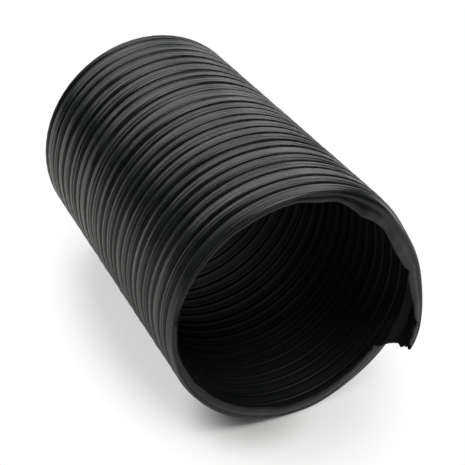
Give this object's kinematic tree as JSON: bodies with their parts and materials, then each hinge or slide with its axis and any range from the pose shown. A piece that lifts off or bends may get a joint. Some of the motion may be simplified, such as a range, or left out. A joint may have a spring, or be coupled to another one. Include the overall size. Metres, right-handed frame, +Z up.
{
  "type": "flexible duct hose",
  "caption": "Cut length of black ribbed rubber duct hose with a spring wire wound inside its ribs, pushed together and lying on its side, with one roughly trimmed end and its tab",
  "frame": {"origin": "under the middle of the hose, on the surface it lies on: the centre of the bounding box in X and Y, at its lowest height", "axes": "+Y runs along the hose towards its far end, so the trimmed end faces -Y; +Z is up; +X is to the right seen from the trimmed end looking along +Y"},
  "size_m": [0.1098, 0.1868, 0.109],
  "materials": {
    "hose_rubber": "moulded satin, dry, slightly dusty",
    "strip_rubber": "smooth satin",
    "spring_steel": "drawn wire, bright"
  },
  "bodies": {
    "root": {"hose_wall": "hose_rubber", "spring_wire": "spring_steel", "wire_cover_strip": "strip_rubber"}
  },
  "joints": []
}
